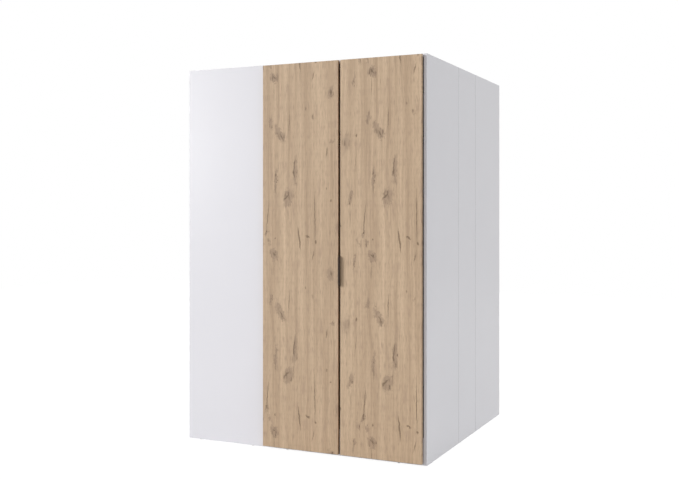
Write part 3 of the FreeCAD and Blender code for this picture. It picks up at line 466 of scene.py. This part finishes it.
def oak(tree, here, start):
    # Printed oak foil on chipboard: matt sand-coloured bands up the door, grey-brown knots and thin cracks.
    # Real pores are under a millimetre wide; they are drawn coarser, so that they show at all.
    grain = settings().grain
    finishes = settings().finishes
    axes = add(tree, "ShaderNodeSeparateXYZ", feeds={"Vector": here["Object"]})
    across = add(tree, "ShaderNodeMath", {"operation": "SUBTRACT"}, {0: axes.outputs["X"], 1: start})
    raised = add(tree, "ShaderNodeMath", {"operation": "SUBTRACT"},
                 {0: axes.outputs["Z"], 1: DECOR_START * MM})
    up = add(tree, "ShaderNodeMath", {"operation": "FLOORED_MODULO"}, {0: raised, 1: DECOR_PERIOD * MM})
    spot = add(tree, "ShaderNodeCombineXYZ", feeds={"X": across, "Y": up})
    # Outlines are torn by a noise about its middle
    ragged = add(tree, "ShaderNodeTexNoise",
                 feeds={"Vector": here["Object"], "Scale": 1 / grain.tear, "Detail": 3.0})
    sway = add(tree, "ShaderNodeVectorMath", {"operation": "SUBTRACT"},
               {0: ragged.outputs["Color"], 1: (0.5, 0.5, 0.5)})
    torn = add(tree, "ShaderNodeVectorMath", {"operation": "MULTIPLY_ADD"},
               {0: sway, 1: (grain.knot_tear_across, grain.knot_tear_along, 0), 2: spot})
    bent = add(tree, "ShaderNodeVectorMath", {"operation": "MULTIPLY_ADD"},
               {0: sway, 1: (grain.crack_tear_across, grain.crack_tear_along, 0), 2: spot})
    knots = marks(tree, torn, KNOTS, KNOT_SPREAD)
    cracks = marks(tree, bent, CRACKS, CRACK_SPREAD)
    # The grain wanders a little, and goes round the knots
    slow = add(tree, "ShaderNodeMapping", feeds={
        "Vector": here["Object"],
        "Scale": (1 / grain.wander_width, 1, 1 / grain.wander_length),
    })
    drift = add(tree, "ShaderNodeTexNoise", feeds={"Vector": slow, "Scale": 1.0, "Detail": 1.0})
    wander = add(tree, "ShaderNodeMath", {"operation": "MULTIPLY_ADD"},
                 {0: drift, 1: grain.wander, 2: across})
    flow = add(tree, "ShaderNodeMath", {"operation": "MULTIPLY_ADD"},
               {0: knots, 1: grain.knot_bend, 2: wander})
    layers = []
    for wide, tall, detail in ((grain.band_width, grain.band_length, 1.0),
                               (grain.streak_width, grain.streak_length, 2.0),
                               (grain.smudge_width, grain.smudge_length, 2.0),
                               (grain.pore_width, grain.pore_length, 1.0),
                               (grain.vessel_width, grain.vessel_length, 0.0)):
        wide_share = add(tree, "ShaderNodeMath", {"operation": "DIVIDE"}, {0: flow, 1: wide})
        tall_share = add(tree, "ShaderNodeMath", {"operation": "DIVIDE"}, {0: axes.outputs["Z"], 1: tall})
        lie = add(tree, "ShaderNodeCombineXYZ", feeds={"X": wide_share, "Y": tall_share})
        layers.append(add(tree, "ShaderNodeTexNoise", feeds={"Vector": lie, "Scale": 1.0, "Detail": detail}))
    band, streak, smudge, pore, vessel = layers
    blend = add(tree, "ShaderNodeMix", feeds={"Factor": BAND_SHARE, "A": streak, "B": band})
    ground = add(tree, "ShaderNodeMapRange", feeds={
        "Value": blend,
        "From Min": BLEND_RANGE[0],
        "From Max": BLEND_RANGE[1],
        "To Min": GROUND_RANGE[0],
        "To Max": GROUND_RANGE[1],
    })
    lamellas = marks(tree, bent, LAMELLAS, LAMELLA_SPREAD)
    light = add(tree, "ShaderNodeMath", {"operation": "MULTIPLY_ADD"},
                {0: lamellas, 1: LAMELLA_GAIN, 2: ground})
    body = add(tree, "ShaderNodeMix", {"data_type": "RGBA"},
               {"Factor": light, "A": finishes.oak_dark, "B": finishes.oak_light})
    body, _ = stained(tree, body, smudge, ROSE_STAIN, finishes.oak_rose)
    body, open_pore = stained(tree, body, pore, PORE_STAIN, finishes.oak_knot)
    body, open_vessel = stained(tree, body, vessel, VESSEL_STAIN, finishes.oak_knot)
    # A knot is a soft brown smudge with dark fibres through its middle
    body, _ = stained(tree, body, knots, HALO_STAIN, finishes.oak_knot)
    fibre = add(tree, "ShaderNodeMath", {"operation": "MULTIPLY"}, {0: knots, 1: open_pore})
    body, _ = stained(tree, body, fibre, FIBRE_STAIN, finishes.oak_core)
    body, _ = stained(tree, body, cracks, CRACK_STAIN, finishes.oak_core)
    least, most = ROUGHNESS["oak"]
    rough = add(tree, "ShaderNodeMapRange", feeds={"Value": streak, "To Min": least, "To Max": most})
    bump = add(tree, "ShaderNodeBump", {"invert": True},
               {"Strength": 0.12, "Distance": grain.vessel_relief, "Height": open_vessel})
    return {"Base Color": body, "Roughness": rough, "Normal": bump, "IOR": 1.45}


def plated(tree, here, base, gloss, haze_size):
    # Plated steel: bright metal whose gloss varies a little with the polish or the bath.
    least, most = ROUGHNESS[gloss]
    haze = add(tree, "ShaderNodeTexNoise",
               feeds={"Vector": here["Object"], "Scale": 1 / haze_size, "Detail": 3.0})
    rough = add(tree, "ShaderNodeMapRange", feeds={
        "Value": haze,
        "From Min": NOISE_LOW,
        "From Max": NOISE_HIGH,
        "To Min": least,
        "To Max": most,
    })
    return {"Base Color": base, "Metallic": 1.0, "Roughness": rough}


def enamel(tree, here):
    # Baked enamel on sheet steel: nearly black, a soft gloss and a slight orange peel.
    grain = settings().grain
    least, most = ROUGHNESS["enamel"]
    peel = add(tree, "ShaderNodeTexNoise",
               feeds={"Vector": here["Object"], "Scale": 1 / grain.peel, "Detail": 2.0})
    rough = add(tree, "ShaderNodeMapRange", feeds={"Value": peel, "To Min": least, "To Max": most})
    bump = add(tree, "ShaderNodeBump",
               feeds={"Strength": 0.1, "Distance": grain.peel_relief, "Height": peel})
    return {"Base Color": settings().finishes.pull, "Roughness": rough, "Normal": bump, "IOR": 1.5}


def pressed_fibre(tree, here):
    # Hardboard: brown felted fibre outside, and a thin coat of white paint on the face that looks inside.
    # Real fibres are about a millimetre long; their flecks are drawn coarser, so that they show.
    grain = settings().grain
    finishes = settings().finishes
    least, most = ROUGHNESS["hardboard"]
    fleck = add(tree, "ShaderNodeTexNoise",
                feeds={"Vector": here["Object"], "Scale": 1 / grain.felt, "Detail": 4.0})
    bare = mottled(tree, fleck, finishes.hardboard, DARKEST["hardboard"])
    side = add(tree, "ShaderNodeSeparateXYZ", feeds={"Vector": here["Normal"]})
    inner = add(tree, "ShaderNodeMath", {"operation": "LESS_THAN"}, {0: side.outputs["Y"], 1: INWARD})
    body = add(tree, "ShaderNodeMix", {"data_type": "RGBA"},
               {"Factor": inner, "A": bare, "B": finishes.hardboard_paint})
    rough = add(tree, "ShaderNodeMapRange", feeds={"Value": fleck, "To Min": least, "To Max": most})
    bump = add(tree, "ShaderNodeBump",
               feeds={"Strength": 0.15, "Distance": grain.felt_relief, "Height": fleck})
    return {"Base Color": body, "Roughness": rough, "Normal": bump, "IOR": 1.45}


def moulded(tree, here, base, gloss):
    # Moulded or drawn plastic: an even colour under a dull skin with faint flow marks.
    least, most = ROUGHNESS[gloss]
    skin = add(tree, "ShaderNodeTexNoise",
               feeds={"Vector": here["Object"], "Scale": 1 / settings().grain.skin, "Detail": 2.0})
    rough = add(tree, "ShaderNodeMapRange", feeds={"Value": skin, "To Min": least, "To Max": most})
    body = mottled(tree, skin, base, DARKEST["plastic"], low=0.0, high=1.0)
    return {"Base Color": body, "Roughness": rough, "IOR": 1.5}


def beech(tree, here):
    # Bare turned beech: pale reddish wood with short fine flecks.
    fleck = add(tree, "ShaderNodeTexNoise",
                feeds={"Vector": here["Object"], "Scale": 1 / settings().grain.beech_fleck, "Detail": 3.0})
    body = mottled(tree, fleck, settings().finishes.dowels, DARKEST["beech"])
    return {"Base Color": body, "Roughness": 0.6, "IOR": 1.45}


# Turned fittings


def islands(name):
    """The points of each separate solid of a CAD sub-part, in a fixed order."""
    work = bmesh.new()
    work.from_mesh(NODES[name].data)
    bmesh.ops.remove_doubles(work, verts=work.verts, dist=WELD * MM)
    left = set(work.verts)
    groups = []
    while left:
        edge = [left.pop()]
        points = []
        while edge:
            vert = edge.pop()
            points.append(vert.co.copy())
            for link in vert.link_edges:
                other = link.other_vert(vert)
                if other in left:
                    left.remove(other)
                    edge.append(other)
        groups.append(points)
    work.free()
    return sorted(groups, key=lambda points: [round(place, SORT_DIGITS) for place in min(points, key=tuple)])


def turn(work, profile, cross, place):
    """Turn a profile about local Z, with a driver's cross pressed into its top."""
    sides = settings().segments
    quarter = sides // CROSS_ARMS
    reach, depth = cross
    rings = []
    for step, (radius, height) in enumerate(profile):
        top = step > len(profile) / 2
        ring = []
        for side in range(sides if radius else 1):
            off_arm = min(side % quarter, -side % quarter)
            pressed = top and radius <= reach and off_arm * radius <= reach * ARM_SHARE
            angle = math.tau * side / sides
            sunk = depth if pressed else 0
            point = Vector((radius * math.cos(angle), radius * math.sin(angle), height - sunk))
            ring.append(work.verts.new(place @ (point * MM)))
        rings.append(ring)
    for low, high in zip(rings, rings[1:]):
        for side in range(sides):
            after = side + 1
            corners = [low[side % len(low)], low[after % len(low)],
                       high[after % len(high)], high[side % len(high)]]
            work.faces.new(list(dict.fromkeys(corners)))


def turned_piece(name, node, body, profile, cross, places):
    """One piece with a turned fitting at each place, in the stead of a CAD sub-part."""
    work = bmesh.new()
    for place in places:
        turn(work, profile, cross, place)
    mesh = bpy.data.meshes.new(name)
    work.to_mesh(mesh)
    work.free()
    mesh.shade_smooth()
    mesh.set_sharp_from_angle(angle=SHARP_ANGLE)
    piece = bpy.data.objects.new(name, mesh)
    bpy.context.scene.collection.objects.link(piece)
    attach(piece, body)
    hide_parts(node)
    piece.data.materials.append(bpy.data.materials["zinc_plated_steel"])


def corners_of(points):
    """The lowest and highest corners of some points."""
    low = Vector([min(point[axis] for point in points) for axis in range(3)])
    high = Vector([max(point[axis] for point in points) for axis in range(3)])
    return low, high


def screw_place(points):
    """Where a CAD screw bears and which way its head looks: the head is at the end with the wider rim."""
    low, high = corners_of(points)
    middle = (low + high) / 2
    long_axis = max(range(3), key=lambda axis: high[axis] - low[axis])
    reach = {}
    for end in (low, high):
        offsets = [point - middle for point in points if abs(point[long_axis] - end[long_axis]) < RIM * MM]
        widths = [offset.length_squared - offset[long_axis] ** 2 for offset in offsets]
        reach[max(widths)] = end[long_axis]
    head_end = reach[max(reach)]
    way = Vector((0, 0, 0))
    way[long_axis] = 1 if head_end > middle[long_axis] else -1
    bearing = middle.copy()
    bearing[long_axis] = head_end - way[long_axis] * SCREW_PROFILE[-1][1] * MM
    return Matrix.Translation(bearing) @ way.to_track_quat("Z", "Y").to_matrix().to_4x4()


def cam_place(points):
    """A cam's open face: up in the top boards, down in the bottom ones."""
    low, high = corners_of(points)
    middle = (low + high) / 2
    up = middle.z > (CAD_BOX[0].z + CAD_BOX[1].z) / 2
    middle.z = high.z if up else low.z
    turned_over = Matrix.Identity(4) if up else Matrix.Rotation(math.pi, 4, "X")
    return Matrix.Translation(middle) @ turned_over


# One operator for each piece or group of like pieces


class WARDROBE_OT_white_boards(bpy.types.Operator):
    """Laminate the carcass boards, the blind panel and the shelves"""
    bl_idname = "wardrobe.white_boards"
    bl_label = "White boards"

    def execute(self, context):
        wear(make_finish("white_melamine_laminate", melamine), WHITE_BOARDS)
        return {"FINISHED"}


class WARDROBE_OT_oak_doors(bpy.types.Operator):
    """Print the oak decor on both doors, one sheet cut further over than the other"""
    bl_idname = "wardrobe.oak_doors"
    bl_label = "Oak doors"

    def execute(self, context):
        for side, shift in (("left", 0.0), ("right", context.scene.wardrobe.grain.right_shift)):
            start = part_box(f"{side}_door")[0].x + shift
            wear(make_finish(f"oak_decor_foil_{side}", oak, start), [f"{side}_door"])
        return {"FINISHED"}


class WARDROBE_OT_edge_pull(bpy.types.Operator):
    """Enamel the pull on the right door's free edge"""
    bl_idname = "wardrobe.edge_pull"
    bl_label = "Edge pull"

    def execute(self, context):
        wear(make_finish("dark_baked_enamel", enamel), ["edge_pull"])
        return {"FINISHED"}


class WARDROBE_OT_back(bpy.types.Operator):
    """Finish the back sheets and the strips that join them"""
    bl_idname = "wardrobe.back"
    bl_label = "Back"

    def execute(self, context):
        plastic = context.scene.wardrobe.finishes.plastic
        wear(make_finish("painted_hardboard", pressed_fibre), BACK_SHEETS)
        wear(make_finish("white_drawn_plastic", moulded, plastic, "strips"), ["back_joint_profiles"])
        return {"FINISHED"}


class WARDROBE_OT_rails(bpy.types.Operator):
    """Chrome the clothes rails, their end flanges and hangers"""
    bl_idname = "wardrobe.rails"
    bl_label = "Clothes rails"

    def execute(self, context):
        wardrobe = context.scene.wardrobe
        chrome = wardrobe.finishes.chrome
        wear(make_finish("chromed_steel", plated, chrome, "chrome", wardrobe.grain.chrome_haze), CHROMED)
        return {"FINISHED"}


class WARDROBE_OT_fittings(bpy.types.Operator):
    """Zinc-plate the hinges, plates, brackets, pins and nails, and finish dowels, glides and bumpers"""
    bl_idname = "wardrobe.fittings"
    bl_label = "Fittings"

    def execute(self, context):
        finishes = context.scene.wardrobe.finishes
        haze = context.scene.wardrobe.grain.zinc_haze
        zinc = make_finish("zinc_plated_steel", plated, finishes.zinc, "zinc", haze)
        bumpers = make_finish("soft_bumpers", moulded, finishes.bumpers, "bumpers")
        wear(zinc, HINGE_STEEL + ZINC_PLATED)
        wear(bumpers, ["left_bumpers", "right_bumpers"])
        wear(make_finish("bare_beech", beech), ["dowels"])
        wear(make_finish("moulded_glides", moulded, finishes.glides, "glides"), ["floor_glides"])
        return {"FINISHED"}


class WARDROBE_OT_screws(bpy.types.Operator):
    """Turn cross-head screws where the CAD screws are"""
    bl_idname = "wardrobe.screws"
    bl_label = "Screws"

    def execute(self, context):
        for node, body in SCREW_SETS.items():
            places = [screw_place(points) for points in islands(node)]
            turned_piece("cross_head_" + node, node, body, SCREW_PROFILE, SCREW_CROSS, places)
        return {"FINISHED"}


class WARDROBE_OT_cams(bpy.types.Operator):
    """Turn slotted cams where the CAD cam discs are"""
    bl_idname = "wardrobe.cams"
    bl_label = "Cams"

    def execute(self, context):
        places = [cam_place(points) for points in islands("cam_discs")]
        turned_piece("slotted_cams", "cam_discs", "carcass", CAM_PROFILE, CAM_CROSS, places)
        return {"FINISHED"}


class WARDROBE_OT_stage(bpy.types.Operator):
    """Set up the pale floor, the soft light and the level camera"""
    bl_idname = "wardrobe.stage"
    bl_label = "Stage"

    def seen(self, tree):
        """One for rays from the camera, from gloss and through glass, and nought for light."""
        path = add(tree, "ShaderNodeLightPath")
        total = path.outputs["Is Camera Ray"]
        for name in ("Is Glossy Ray", "Is Transmission Ray"):
            total = add(tree, "ShaderNodeMath", {"operation": "MAXIMUM"}, {0: total, 1: path.outputs[name]})
        return total

    def make_floor(self, stage):
        # Plain pale floor: it takes the light and the shadow, and looks white to the camera.
        material = bpy.data.materials.new("pale_floor")
        material.use_nodes = True
        tree = material.node_tree
        tree.nodes.clear()
        paint = add(tree, "ShaderNodeBsdfDiffuse", feeds={"Color": stage.floor})
        white = add(tree, "ShaderNodeEmission", feeds={"Color": WHITE, "Strength": stage.floor_white})
        thin = [channel * stage.floor_shadow for channel in stage.floor[:3]] + [1.0]
        shade = add(tree, "ShaderNodeBsdfDiffuse", feeds={"Color": thin})
        bright = add(tree, "ShaderNodeAddShader", feeds={0: white, 1: shade})
        surface = add(tree, "ShaderNodeMixShader", feeds={0: self.seen(tree), 1: paint, 2: bright})
        add(tree, "ShaderNodeOutputMaterial", feeds={"Surface": surface})
        mesh = bpy.data.meshes.new("floor")
        half = FLOOR_HALF
        corners = [(-half, -half, 0), (half, -half, 0), (half, half, 0), (-half, half, 0)]
        mesh.from_pydata(corners, [], [(0, 1, 2, 3)])
        mesh.materials.append(material)
        floor = bpy.data.objects.new("floor", mesh)
        bpy.context.scene.collection.objects.link(floor)

    def make_world(self, stage):
        world = bpy.data.worlds.new("studio")
        world.use_nodes = True
        tree = world.node_tree
        tree.nodes.clear()
        level = add(tree, "ShaderNodeMath", {"operation": "MULTIPLY_ADD"},
                    {0: self.seen(tree), 1: 1 - stage.ambient, 2: stage.ambient})
        sky = add(tree, "ShaderNodeBackground", feeds={"Color": WHITE, "Strength": level})
        add(tree, "ShaderNodeOutputWorld", feeds={"Surface": sky})
        bpy.context.scene.world = world

    def make_lamps(self, stage):
        for name, (right, up, wide) in LAMPS.items():
            lamp = bpy.data.lights.new("soft_" + name, "SUN")
            lamp.energy = getattr(stage, name)
            lamp.angle = math.radians(wide)
            stand = bpy.data.objects.new("soft_" + name, lamp)
            stand.rotation_euler = (math.radians(90 - up), 0, math.radians(right))
            bpy.context.scene.collection.objects.link(stand)

    def make_camera(self, stage):
        lens = bpy.data.cameras.new("camera")
        lens.lens = stage.lens
        lens.sensor_width = SENSOR_WIDTH
        lens.shift_y = (HORIZON_ROW - IMAGE_HEIGHT / 2) / IMAGE_WIDTH
        camera = bpy.data.objects.new("camera", lens)
        camera.location = (stage.camera_right, -stage.camera_back, stage.camera_height)
        camera.rotation_euler = (math.pi / 2, 0, stage.camera_turn)
        bpy.context.scene.collection.objects.link(camera)
        bpy.context.scene.camera = camera

    def execute(self, context):
        stage = context.scene.wardrobe.stage
        context.scene.view_settings.view_transform = "Standard"
        self.make_floor(stage)
        self.make_world(stage)
        self.make_lamps(stage)
        self.make_camera(stage)
        return {"FINISHED"}


STEPS = (
    WARDROBE_OT_white_boards,
    WARDROBE_OT_oak_doors,
    WARDROBE_OT_edge_pull,
    WARDROBE_OT_back,
    WARDROBE_OT_rails,
    WARDROBE_OT_fittings,
    WARDROBE_OT_screws,
    WARDROBE_OT_cams,
    WARDROBE_OT_stage,
)


class WARDROBE_PT_steps(bpy.types.Panel):
    """The steps that dress the wardrobe, and their settings"""
    bl_idname = "WARDROBE_PT_steps"
    bl_label = "Corner wardrobe"
    bl_space_type = "VIEW_3D"
    bl_region_type = "UI"
    bl_category = "Wardrobe"

    def draw(self, context):
        wardrobe = context.scene.wardrobe
        for step in STEPS:
            self.layout.operator(step.bl_idname)
        self.layout.prop(wardrobe, "segments")
        groups = {"Finishes": wardrobe.finishes, "Grain": wardrobe.grain, "Stage": wardrobe.stage}
        for title, group in groups.items():
            box = self.layout.box()
            box.label(text=title)
            for name in type(group).__annotations__:
                box.prop(group, name)


CLASSES = (WardrobeFinishes, WardrobeGrain, WardrobeStage, WardrobeSettings) + STEPS + (WARDROBE_PT_steps,)


def register():
    for kind in CLASSES:
        bpy.utils.register_class(kind)
    bpy.types.Scene.wardrobe = PointerProperty(type=WardrobeSettings, name="Wardrobe",
                                               description="Finishes, grain and stage of the wardrobe")


def unregister():
    del bpy.types.Scene.wardrobe
    for kind in reversed(CLASSES):
        bpy.utils.unregister_class(kind)


def main():
    register()
    for step in STEPS:
        group, name = step.bl_idname.split(".")
        if getattr(getattr(bpy.ops, group), name)() != {"FINISHED"}:
            raise RuntimeError(step.bl_label + " did not finish")


if __name__ == "__main__":
    main()
